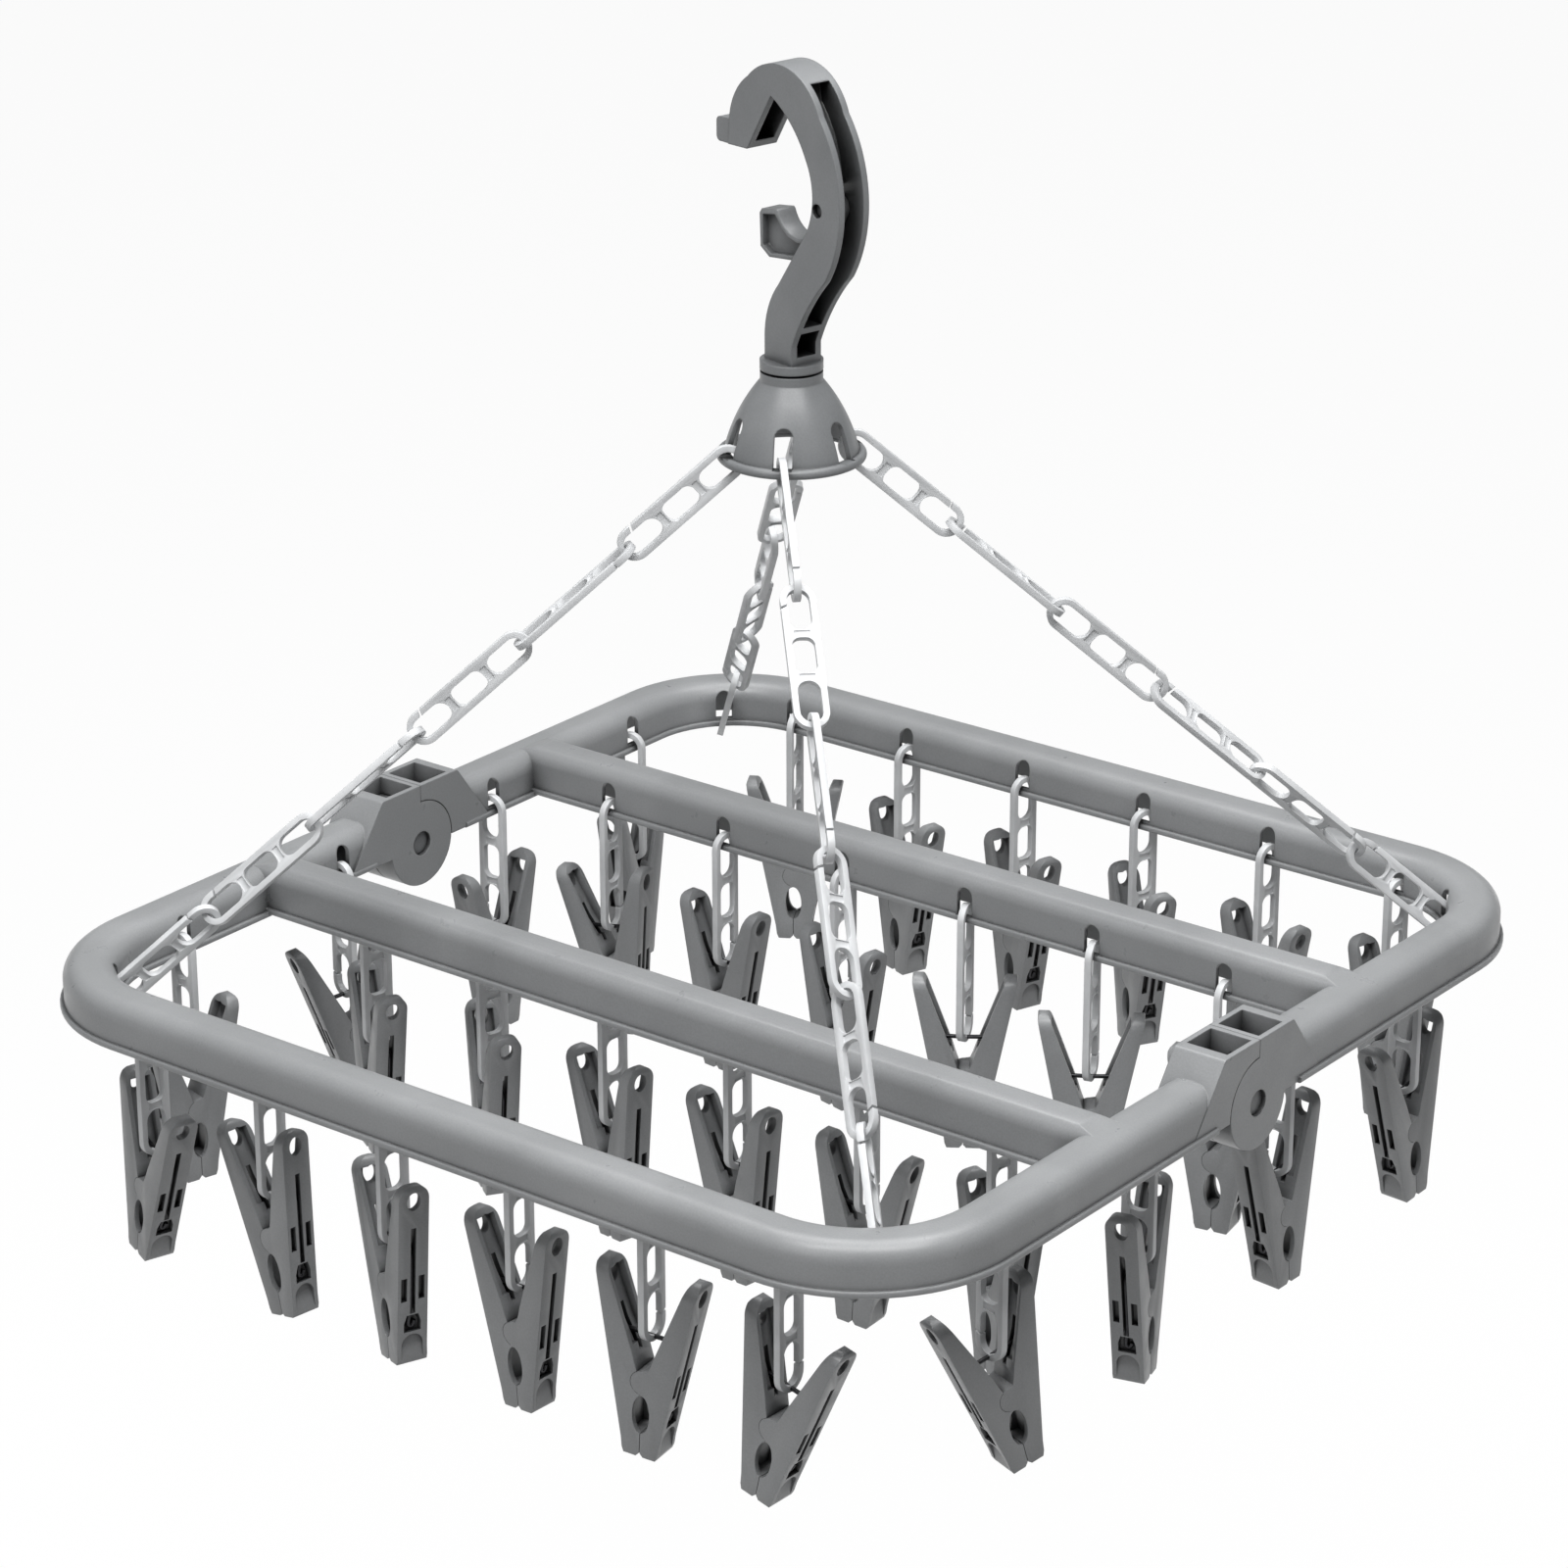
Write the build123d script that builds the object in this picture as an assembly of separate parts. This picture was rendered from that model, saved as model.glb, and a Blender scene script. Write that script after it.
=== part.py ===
from build123d import *
import math
import os

# Clip drying hanger: a folding frame of two halves on four chains under a swivel hook,
# with thirty-two spring clips, each on its own ladder link.
# Modelled with z = 0 on the frame's fold axis, then moved so that the origin is the
# centre of the rail that the hook hangs on. x runs along the fold axis.

# ---- driving dimensions, mm ----
clip_pitch = 60.0            # between clips along a long bar
clips_per_bar = 6
side_inner = 190.4           # fold plane to the inner wall of a side bar, along x
end_inner = 194.5            # fold axis to the inner wall of an outer bar, along y
cross_inner = 70.8           # fold axis to the slotted wall of a crossbar
side_clip_y = (45.5, 135.4)  # clips on the side bars, from the fold axis
outer_width = 20.4
cross_width = 18.0
bar_bottom, bar_top = -2.0, 16.5
cross_bottom, cross_top = -0.8, 19.3      # the crossbars stand a little higher
wall = 2.0
lip = 1.5                    # bead along the bottom edge of each wall
lip_height = 2.6
corner_radius = 50.0         # of the bars' centre line
slot_width = 7.0
slot_bottom = 1.5
slot_spring = 9.7            # where a slot's straight sides end and its arch begins

block_inner, block_outer = 189.4, 211.0
block_top = 25.0
block_top_y, block_foot_y = 22.5, 42.0
lobe_radius = 17.8
lobe_play = 0.4
fold_pin_radius = 5.0
fold_pin_play = 0.05
fold_limit = 40.0            # degrees, each half

link_length, link_width, link_thick, link_rail = 58.4, 13.0, 2.6, 2.3
ring_span = link_length - link_width      # between the centres of a link's two end rings
hang_z = (bar_bottom + slot_bottom) / 2   # middle of the bridge under a slot
crown_rise = (link_width - link_rail) / 2

hub_rim_z, hub_neck_z = 203.0, 232.0
hub_wall = 2.2
hub_slot_angles = (0, 60, 120, 180, 240, 300)
hub_bridge_radius, hub_bridge_z = 25.5, 202.2
stem_radius = 5.9
stem_play = 0.08
hook_turn = -12.0            # of the hook's plane about z, degrees
hook_thick = 14.0
hook_side = 2.6
rail_z = 320.0               # centre of the rail under the hook's crown
rail_radius = 11.0
latch_pivot = (22.3, 299.6)
latch_pin_radius = 2.55
latch_limit = 26.0

jaw_thick = 12.0
jaw_pivot_z = -67.0
jaw_foot_z, jaw_head_z = -96.2, -23.5
jaw_foot_x, jaw_head_x = 7.7, 21.0        # outer face, just above the foot and at the head
handle_lean = 20.4           # inner face of a handle from the vertical, degrees
knuckle_radius = 4.6
knuckle_play = 0.1
jaw_limit = 9.0
wire_radius = 0.85
wire_z = hang_z + crown_rise - (link_length - link_rail) + link_rail / 2 + wire_radius + 0.15

chain_links = 6
chain_rolls = (0, 88, -4, 60, -40, 20)    # how each link lies turned about the chain

# Each clip: how far it has turned on its link, and how far it leans, degrees.
bar_turns = {
    "front_outer": ((-18, -11), (-8, 13), (-22, 6), (-3, 4), (8, -3), (-2, -13)),
    "front_cross": ((-30, 0), (-34, 0), (-14, 6), (-8, 5), (3, -3), (-20, 0)),
    "rear_cross": ((10, 8), (-5, 0), (-12, 0), (34, 0), (34, 0), (10, 0)),
    "rear_outer": ((30, 0), (-19, 0), (-20, 0), (-30, 0), (-12, 0), (-15, 0)),
}
side_turns = {
    "front_end": ((-15, 0), (-20, 16)),
    "front_mid": ((-20, 9), (15, 0)),
    "rear_mid": ((0, 0), (-5, 4)),
    "rear_end": ((10, 0), (-4, 6)),
}


# ---- where things are ----

def bar_places():
    """Every clip of the four long bars: name, ring centre, turn of the bar's own frame."""
    rows = {
        "front_outer": -(end_inner + wall / 2),
        "front_cross": -(cross_inner + wall / 2),
        "rear_cross": cross_inner + wall / 2,
        "rear_outer": end_inner + wall / 2,
    }
    middle = (clips_per_bar - 1) / 2
    return {
        row: [((i - middle) * clip_pitch, y, 0.0) + bar_turns[row][i] for i in range(clips_per_bar)]
        for row, y in rows.items()
    }


def side_places():
    """The left and right clips of each side row."""
    near, far = side_clip_y
    rows = {"front_end": -far, "front_mid": -near, "rear_mid": near, "rear_end": far}
    x = side_inner + wall / 2
    return {
        row: [(-x, y, 90.0) + side_turns[row][0], (x, y, 90.0) + side_turns[row][1]]
        for row, y in rows.items()
    }


def link_turn(turn):
    """A link gives way by part of its clip's turn, as far as its slot lets it."""
    return max(-16.0, min(16.0, 0.5 * turn))


def place_clip(shape, place):
    """From the clip's own frame (spread along x) to its place on a bar."""
    x, y, base, turn, lean = place
    swing = Pos(0, 0, wire_z) * Rot(0, -lean, 0) * Pos(0, 0, -wire_z)
    return Pos(x, y, 0) * Rot(0, 0, base + turn) * swing * shape


def moving_side(place):
    """The jaw that opens is the one that leans out further."""
    return -1 if place[4] > 0 else 1


def chain_ends(side_x, side_y):
    """Centres of the hub's bridge and the frame corner's bridge that one chain joins."""
    angle = math.radians(60)
    top = Vector(
        side_x * hub_bridge_radius * math.cos(angle),
        side_y * hub_bridge_radius * math.sin(angle),
        hub_bridge_z,
    )
    inner = corner_radius - outer_width / 2
    reach = (inner + wall / 2) * math.sqrt(0.5)
    x = side_inner - inner + reach
    y = end_inner - inner + reach
    return top, Vector(side_x * x, side_y * y, hang_z)


def fold_lift():
    """How far the fold axis rises when both halves hang at the fold limit."""
    top, corner = chain_ends(1, 1)
    reach = math.hypot(corner.Y - top.Y, corner.Z - top.Z)
    angle = math.radians(fold_limit)
    y = corner.Y * math.cos(angle) + corner.Z * math.sin(angle)
    z = -corner.Y * math.sin(angle) + corner.Z * math.cos(angle)
    drop = math.sqrt(reach ** 2 - (y - top.Y) ** 2)
    lift = top.Z - drop - z
    before = math.atan2(top.Z - corner.Z, corner.Y - top.Y)
    after = math.atan2(drop, y - top.Y)
    return lift, math.degrees(after - before)


# ---- frame ----

def bar_outline(width, crown, bottom, top):
    height = top - bottom
    outline = Pos(0, bottom + height / 2) * Rectangle(width, height)
    return fillet(outline.vertices().group_by(Axis.Y)[-1], crown)


def bar_section(width, crown, bottom, top):
    """An upside-down channel with rounded shoulders and a bead along each bottom edge."""
    beads = Pos(0, bottom + lip_height / 2) * RectangleRounded(width + 2 * lip, lip_height, 0.9)
    hollow = bar_outline(width - 2 * wall, crown - wall, bottom, top - wall)
    return bar_outline(width, crown, bottom, top) + beads - hollow


def crossbar():
    """The crossbar of the rear half; caps carry its crown down to the tops of the side bars."""
    crown = 7.0
    end = side_inner + 3
    reach = side_inner + outer_width / 2
    low = bar_top - wall
    y = cross_inner + cross_width / 2
    along = Plane(origin=(-end, y, 0), x_dir=(0, 1, 0), z_dir=(1, 0, 0))
    section = bar_section(cross_width, crown, cross_bottom, cross_top)
    bar = extrude(along * section, amount=2 * end)
    above = Pos(0, low + 10) * Rectangle(cross_width, 20)
    cap_outline = bar_outline(cross_width, crown, cross_bottom, cross_top) & above
    from_middle = Plane(origin=(side_inner, y, 0), x_dir=(0, 1, 0), z_dir=(1, 0, 0))
    cap = extrude(from_middle * cap_outline, amount=reach - side_inner)
    ramp = Polygon((side_inner - 2, cross_top), (reach, bar_top - 0.3), (reach, 30),
                   (side_inner - 2, 30), align=None)
    tool = Pos(0, y, 0) * extrude(Plane.XZ * ramp, amount=20, both=True)
    bar += [cap, mirror(cap, about=Plane.YZ)]
    return bar - [tool, mirror(tool, about=Plane.YZ)]


def slot_tool():
    """Cuts an arch-topped slot through a wall that faces y."""
    straight = slot_spring - slot_bottom
    outline = Pos(0, slot_bottom + straight / 2) * Rectangle(slot_width, straight)
    outline += Pos(0, slot_spring) * Circle(slot_width / 2)
    return extrude(Plane.XZ * outline, amount=3.2, both=True)


def block_profile():
    """Side view of a fold block, in y and z."""
    face = 0.1
    return Polygon(
        (face, block_top), (block_top_y, block_top), (block_foot_y, bar_bottom + 0.5),
        (face, bar_bottom + 0.5), align=None)


def fold_block(inner_lobe):
    """One half's end block, for the right-hand side and y above 0."""
    middle = (block_inner + block_outer) / 2
    half = (block_outer - block_inner) / 2
    own = (block_inner, middle - lobe_play / 2) if inner_lobe else (middle + lobe_play / 2, block_outer)
    side = Plane.YZ
    recess = Circle(lobe_radius + lobe_play)
    outwards = (1, 0, 0)
    block = extrude(side.offset(block_inner) * (block_profile() - recess),
                    amount=2 * half, dir=outwards)
    block += extrude(side.offset(own[0]) * (block_profile() + Circle(lobe_radius)),
                     amount=own[1] - own[0], dir=outwards)
    crest = block.edges().filter_by(Axis.X).group_by(Axis.Z)[-1].group_by(Axis.Y)[-1]
    block = fillet(crest, 2.0)
    pocket = Pos(middle, 10.2, block_top) * Box(2 * half - 4.4, 15.6, 26)
    bore = Plane.YZ.offset(block_inner - 5) * Circle(fold_pin_radius + fold_pin_play)
    return block - pocket - extrude(bore, amount=2 * half + 10)


def frame_half(inner_lobe):
    """The half with y above 0; the front half is its mirror image."""
    x = side_inner + outer_width / 2
    y = end_inner + outer_width / 2
    start = 27.0
    path = FilletPolyline((-x, start), (-x, y), (x, y), (x, start), radius=corner_radius)
    across = Plane(origin=(-x, start, 0), x_dir=(-1, 0, 0), z_dir=(0, 1, 0))
    half = sweep(across * bar_section(outer_width, 7.6, bar_bottom, bar_top), path=path)
    half += crossbar()
    block = fold_block(inner_lobe)
    half += block
    half += mirror(block, about=Plane.YZ)
    tool = slot_tool()
    cuts = []
    for row in ("rear_cross", "rear_outer"):
        cuts += [Pos(p[0], p[1], 0) * tool for p in bar_places()[row]]
    for row in ("rear_mid", "rear_end"):
        cuts += [Pos(p[0], p[1], 0) * Rot(0, 0, 90) * tool for p in side_places()[row]]
    for side in (-1, 1):
        corner = chain_ends(side, 1)[1]
        cuts.append(Pos(corner.X, corner.Y, 0) * Rot(0, 0, -45 * side) * tool)
    return half - cuts


def fold_pins():
    """The two pins of the fold, each a little short of the block's faces."""
    recess = 1.6
    length = block_outer - block_inner - 2 * recess
    pin = extrude(Plane.YZ.offset(block_inner + recess) * Circle(fold_pin_radius), amount=length)
    return [pin, mirror(pin, about=Plane.YZ)]


# ---- links ----

def ladder_link():
    """Three windows between two rails; top ring's centre at the origin, hanging down."""
    end_window = 16.6
    rung = 3.0
    middle_window = link_length - 2 * link_rail - 2 * end_window - 2 * rung
    inside = link_width - 2 * link_rail
    shift = middle_window / 2 + rung + end_window / 2
    outline = SlotOverall(link_length, link_width) - RectangleRounded(middle_window, inside, 3.2)
    outline -= Pos(shift, 0) * SlotOverall(end_window, inside)
    outline -= Pos(-shift, 0) * SlotOverall(end_window, inside)
    snap_gap = Rot(0, 0, 22) * Rectangle(0.9, 6)
    outline -= Pos(-shift - 1.5, link_width / 2 - link_rail / 2) * snap_gap
    flat = Plane(origin=(0, 0, -ring_span / 2), x_dir=(0, 0, 1), z_dir=(1, 0, 0))
    return extrude(flat * outline, amount=link_thick / 2, both=True)


def hang_link(link, place):
    x, y, base, turn, lean = place
    return Pos(x, y, hang_z) * Rot(0, 0, base + link_turn(turn)) * link


def chain(side_x, side_y):
    """Six links from a slot of the hub to a corner of the frame."""
    top, end = chain_ends(side_x, side_y)
    run = end - top
    step = (run.length - ring_span) / (chain_links - 1)
    along = run.normalized()
    level = Vector(run.X, run.Y, 0).normalized()
    links = []
    for i in range(chain_links):
        gap_up = i % 2 == 0
        link = ladder_link()
        if not gap_up:
            link = Pos(0, 0, -ring_span) * Rot(0, 180, 0) * link
        place = Plane(origin=top + along * (i * step), x_dir=level.cross(Vector(0, 0, 1)), z_dir=along * -1)
        links.append(place.location * Rot(0, 0, chain_rolls[i] * side_x * side_y) * link)
    return links


# ---- clips, in the clip's own frame: spread along x, jaw axis along y ----

def outer_line(z):
    """The outer face's distance from the middle at a height."""
    low = jaw_foot_z + 6
    return jaw_foot_x + (z - low) * (jaw_head_x - jaw_foot_x) / (jaw_head_z - low)


def jaw_blank(side):
    """Half of a clip, from its foot to the round top of its handle."""
    lean = math.tan(math.radians(handle_lean))
    height = jaw_head_z - jaw_pivot_z
    face = 0.12
    profile = Polygon(
        (face, jaw_foot_z), (face, jaw_pivot_z), (lean * height, jaw_head_z),
        (jaw_head_x, jaw_head_z), (jaw_foot_x, jaw_foot_z + 6), (jaw_foot_x - 1.1, jaw_foot_z),
        align=None)
    profile = fillet(profile.vertices().group_by(Axis.Y)[-1], 2.0)
    blank = extrude(Plane.XZ * profile, amount=jaw_thick / 2, both=True)
    length = jaw_head_z - jaw_foot_z
    front = Pos(0, jaw_foot_z + length / 2) * Rectangle(jaw_thick, length)
    front = fillet(front.vertices().group_by(Axis.Y)[-1], jaw_thick / 2 - 0.05)
    front_plane = Plane(origin=(-1, 0, 0), x_dir=(0, 1, 0), z_dir=(1, 0, 0))
    blank = blank & extrude(front_plane * front, amount=30)
    return blank if side > 0 else mirror(blank, about=Plane.YZ)


def jaw_cuts(side):
    """Trough for the wire, handle hole, wire slot, half of the oval window, tip pocket."""
    trough_low, trough_high, trough_deep = -87.0, -33.0, 3.6
    trough = Polygon(
        (outer_line(trough_low) - trough_deep, trough_low),
        (outer_line(trough_high) - trough_deep, trough_high),
        (outer_line(trough_high) + 4, trough_high),
        (outer_line(trough_low) + 4, trough_low), align=None)
    cuts = extrude(Plane.XZ * trough, amount=2.9, both=True)
    cuts += Plane(origin=(15, 0, -30.2), z_dir=(1, 0, 0)) * Cylinder(2.4, 22)
    cuts += Pos(10, 0, -50.0) * Box(16, 3.5, 13)
    oval = Pos(0, -79.5) * Ellipse(3.5, 7.5)
    cuts += extrude(Plane.XZ * oval, amount=jaw_thick, both=True)
    pocket = Polygon((8.5, -95.2), (4.6, -94.6), (4.4, -89.6), (11, -89.6), align=None)
    cuts += extrude(Plane.XZ * pocket, amount=4.2, both=True)
    return cuts if side > 0 else mirror(cuts, about=Plane.YZ)


def knuckle(radius, length):
    return Pos(0, 0, jaw_pivot_z) * Rot(90, 0, 0) * Cylinder(radius, length)


def jaw(side):
    """The jaw on the right carries the knuckle; the one on the left rocks on it in a groove."""
    body = jaw_blank(side)
    if side > 0:
        return body + knuckle(knuckle_radius, jaw_thick) - jaw_cuts(side)
    return body - jaw_cuts(side) - knuckle(knuckle_radius + knuckle_play, jaw_thick + 2)


def wire_line(z):
    return outer_line(z) - 2.5


def clip_spring():
    """One bent wire: an arch across the handles and a leg down each jaw's trough."""
    low, bend = -83.5, -51.0
    half = [(wire_line(low), 0, low), (wire_line(bend), 0, bend), (wire_line(bend) - 3.0, 0, wire_z + 0.6)]
    points = [(-x, y, z) for x, y, z in half] + [(0, 0, wire_z)] + half[::-1]
    path = FilletPolyline(*points, radius=1.6)
    across = Plane(origin=path @ 0, z_dir=path % 0)
    return sweep(across * Circle(wire_radius), path=path)


# ---- hub and hook ----

def hub_dome():
    """A bell with a rolled rim, a bore for the hook's stem and six arch-topped slots."""
    neck, rim = 11.6, 25.2
    outer = Line((neck, hub_neck_z + 2.4), (neck, hub_neck_z - 1))
    bell = ThreePointArc((neck, hub_neck_z - 1), (20.2, 217.6), (rim, hub_rim_z))
    inner_bell = ThreePointArc(
        (rim - hub_wall, hub_rim_z), (20.2 - hub_wall * 0.8, 217.6 - hub_wall * 0.5), (8.5, 229.6))
    outline = outer + bell + Line(bell @ 1, inner_bell @ 0) + inner_bell
    bore = stem_radius + stem_play
    outline += Polyline((8.5, 229.6), (bore, 229.6), (bore, hub_neck_z + 2.4), (neck, hub_neck_z + 2.4))
    profile = make_face(Plane.XZ * outline)
    roll = Plane.XZ * (Pos(rim + 0.6, hub_rim_z - 0.5) * Circle(1.9))
    dome = revolve(profile, Axis.Z) + revolve(roll, Axis.Z)
    arch = Pos(0, 209.2) * Rectangle(7.0, 10.6) + Pos(0, 214.5) * Circle(3.5)
    cut = extrude((Plane.YZ.offset(17)) * arch, amount=16)
    return dome - [Rot(0, 0, a) * cut for a in hub_slot_angles]


def hook_outline():
    """The hook's side view: foot, long back, crown, tip and the mouth inside it."""
    back = Polyline((8.3, 238.5), (8.3, 246.0))
    back += ThreePointArc((8.3, 246.0), (15.2, 259.5), (26.5, 274.0))
    back += ThreePointArc((26.5, 274.0), (34.6, 301.0), (23.5, 333.5))
    back += ThreePointArc((23.5, 333.5), (4.5, 348.8), (-16.0, 341.8))
    back += ThreePointArc((-16.0, 341.8), (-23.0, 334.8), (-26.4, 325.5))
    tip = Polyline((-26.4, 325.5), (-27.2, 314.7), (-16.6, 314.9), (-3.1, 336.9))
    mouth = ThreePointArc((-3.1, 336.9), (8.6, 327.9), (16.0, 317.2))
    mouth += ThreePointArc((16.0, 317.2), (19.7, 302.0), (14.0, 287.0))
    mouth += Line((14.0, 287.0), (0.8, 268.0))
    mouth += ThreePointArc((0.8, 268.0), (-5.2, 257.5), (-6.9, 246.0))
    mouth += Polyline((-6.9, 246.0), (-6.9, 238.5), (8.3, 238.5))
    return make_face(back + tip + mouth)


def hook_pockets():
    """The channel down the back, the hollow tip, the foot's window and the latch's gap."""
    spine = Polyline((10.2, 344.0), (11.5, 336.0))
    spine += ThreePointArc((11.5, 336.0), (21.5, 318.0), (22.6, 298.0))
    spine += ThreePointArc((22.6, 298.0), (17.6, 283.0), (8.0, 270.0))
    spine += Polyline((8.0, 270.0), (-1.5, 253.5), (44.0, 253.5), (44.0, 344.0), (10.2, 344.0))
    tip = Polygon((4.0, 332.5), (1.5, 342.0), (-7.5, 342.6), (-15.0, 337.5), (-21.5, 328.5),
                  (-23.8, 317.8), (-10.0, 317.8), align=None)
    foot = Polygon((-2.0, 250.9), (-2.6, 241.5), (20.0, 241.5), (20.0, 250.9), align=None)
    gap = Polygon((5.0, 275.6), (24.0, 275.6), (24.0, 308.0), (5.0, 308.0), align=None)
    return [make_face(spine), tip, foot, gap]


def hook_body():
    """Two side plates joined by a web, on a collar and a stem that turns in the hub."""
    flat = Plane.XZ
    body = extrude(flat * hook_outline(), amount=hook_thick / 2, both=True)
    tab = Pos(-30.0, 319.2) * RectangleRounded(9.4, 9.2, 2.0)
    body += extrude(flat * tab, amount=hook_thick / 2 - 0.8, both=True)
    inside = hook_thick / 2 - hook_side
    for pocket in hook_pockets():
        body -= extrude(flat * pocket, amount=inside, both=True)
    x, z = latch_pivot
    body -= Pos(x, 0, z) * Rot(90, 0, 0) * Cylinder(latch_pin_radius + 0.05, hook_thick + 2)
    body += Pos(0, 0, 237.0) * Cylinder(11.7, 3.4)
    body += Pos(0, 0, 233.0) * Cylinder(stem_radius, 8.0)
    body += Pos(0, 0, 227.8) * Cylinder(8.0, 3.0)
    return Rot(0, 0, hook_turn) * body


def hook_latch():
    """The lower jaw under the rail: a saddle on an arm that turns between the plates."""
    x, z = latch_pivot
    arm = Polygon((x + 4.4, z - 2), (x + 2.5, z + 4.2), (x - 3.5, z + 3.5), (12.2, 288.0),
                  (12.5, 281.0), (18.0, 282.0), align=None)
    jaw = Polyline((12.9, 290.5), (13.2, 282.0), (7.0, 277.6), (-7.5, 276.0), (-12.4, 279.0),
                   (-12.9, 291.6), (-11.6, 293.4), (-1.0, 295.6))
    jaw += ThreePointArc((-1.0, 295.6), (3.9, 288.9), (12.9, 290.5))
    thick = hook_thick / 2 - hook_side - 0.25
    latch = extrude(Plane.XZ * (arm + Pos(x, z) * Circle(5.0)), amount=thick, both=True)
    latch += extrude(Plane.XZ * make_face(jaw), amount=thick, both=True)
    pin = Pos(x, 0, z) * Rot(90, 0, 0) * Cylinder(latch_pin_radius, hook_thick - 2.2)
    return Rot(0, 0, hook_turn) * (latch + pin)


# ---- assembly ----

def solids_of(shapes):
    return [solid for shape in shapes for solid in shape.solids()]


def save(name, shapes):
    """Writes one node, with the rail's centre at the origin."""
    solids = solids_of(shapes if isinstance(shapes, list) else [shapes])
    moved = [Pos(0, 0, -rail_z) * solid for solid in solids]
    group = moved[0] if len(moved) == 1 else Compound(children=moved)
    export_step(group, os.path.join("parts", name + ".step"))


def save_clips():
    """Links, jaws and springs, row by row; each moving jaw is a node of its own."""
    link = ladder_link()
    jaws = {side: jaw(side) for side in (-1, 1)}
    spring = clip_spring()
    for row, places in {**bar_places(), **side_places()}.items():
        links = [hang_link(link, p) for p in places]
        fixed = [place_clip(jaws[-moving_side(p)], p) for p in places]
        if row in bar_turns:
            save(row + "_links", links)
            save(row + "_fixed_jaws", fixed)
        else:
            save(row + "_links_and_fixed_jaws", links + fixed)
        save(row + "_springs", [place_clip(spring, p) for p in places])
        for number, p in enumerate(places, 1):
            save("{}_moving_jaw_{}".format(row, number), place_clip(jaws[moving_side(p)], p))


def main():
    os.makedirs("parts", exist_ok=True)
    save("hook_body", hook_body())
    save("hook_latch", hook_latch())
    save("hub_dome", hub_dome())
    save("frame_rear", frame_half(inner_lobe=False))
    save("frame_front", mirror(frame_half(inner_lobe=True), about=Plane.XZ))
    save("fold_pins", fold_pins())
    save("chains_front", chain(-1, -1) + chain(1, -1))
    save("chains_rear", chain(-1, 1) + chain(1, 1))
    save_clips()
    lift, swing = fold_lift()
    print("fold lift %.2f mm, chain swing %.2f degrees" % (lift, swing))


if __name__ == "__main__":
    main()
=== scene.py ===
import math
import bpy
import bmesh
from mathutils import Matrix, Vector


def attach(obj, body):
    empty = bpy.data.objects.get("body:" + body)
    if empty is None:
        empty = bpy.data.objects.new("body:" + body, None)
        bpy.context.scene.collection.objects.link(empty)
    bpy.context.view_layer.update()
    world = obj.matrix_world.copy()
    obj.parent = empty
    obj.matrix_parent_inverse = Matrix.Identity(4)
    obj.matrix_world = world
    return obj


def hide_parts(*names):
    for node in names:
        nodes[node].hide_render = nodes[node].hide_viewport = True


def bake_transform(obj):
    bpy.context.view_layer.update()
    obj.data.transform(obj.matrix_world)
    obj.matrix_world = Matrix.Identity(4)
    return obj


# Clip drying hanger: folding frame, chains, swivel hook and sprung pegs.
# The row's origin is the centre of the rail under the hook; the fold axis lies foldDrop below it.

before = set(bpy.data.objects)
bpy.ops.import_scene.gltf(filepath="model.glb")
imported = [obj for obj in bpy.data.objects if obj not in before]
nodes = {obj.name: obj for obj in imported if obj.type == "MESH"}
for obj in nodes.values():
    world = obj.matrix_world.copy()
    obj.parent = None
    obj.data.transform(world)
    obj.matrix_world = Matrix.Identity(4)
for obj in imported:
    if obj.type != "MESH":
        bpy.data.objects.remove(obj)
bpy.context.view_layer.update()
foldDrop = 320.0  # mm


def scaled(*values):
    return tuple(value / 1000.0 for value in values)


# ---------- node helpers ----------

def link(tree, source, target):
    tree.links.new(source, target)


def addNode(tree, kind, x, y, **values):
    node = tree.nodes.new(kind)
    node.location = (x, y)
    for name, value in values.items():
        setattr(node, name, value)
    return node


def mixColour(tree, x, y, first, second, blend="MIX"):
    mix = addNode(tree, "ShaderNodeMix", x, y, data_type="RGBA", blend_type=blend)
    mix.inputs[6].default_value = (*first, 1)
    mix.inputs[7].default_value = (*second, 1)
    return mix


def ramp(tree, x, y, stops):
    node = addNode(tree, "ShaderNodeValToRGB", x, y)
    band = node.color_ramp
    band.elements[0].position, band.elements[0].color = stops[0][0], (*[stops[0][1]] * 3, 1)
    band.elements[1].position, band.elements[1].color = stops[-1][0], (*[stops[-1][1]] * 3, 1)
    for place, level in stops[1:-1]:
        band.elements.new(place).color = (level, level, level, 1)
    return node


# ---------- materials ----------

# Each look's last value sets how far the painted shade in the recesses reaches, in metres.
mouldedGrey = {
    "bars": {"low": (0.225, 0.231, 0.236), "high": (0.262, 0.268, 0.274), "rough": (0.27, 0.4), "round": 0.0008,
             "recess": 0.012},
    "hook": {"low": (0.155, 0.161, 0.166), "high": (0.19, 0.196, 0.201), "rough": (0.3, 0.45), "round": 0.0009,
             "recess": 0.014},
    "pegs": {"low": (0.2, 0.205, 0.21), "high": (0.24, 0.246, 0.251), "rough": (0.3, 0.45), "round": 0.0,
             "recess": 0.007},
}
milkyLink = {"low": (0.5, 0.51, 0.52), "high": (0.6, 0.61, 0.62), "rough": 0.42}
springWire = {"low": (0.012, 0.012, 0.013), "high": (0.05, 0.05, 0.054), "rough": 0.33}


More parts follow.
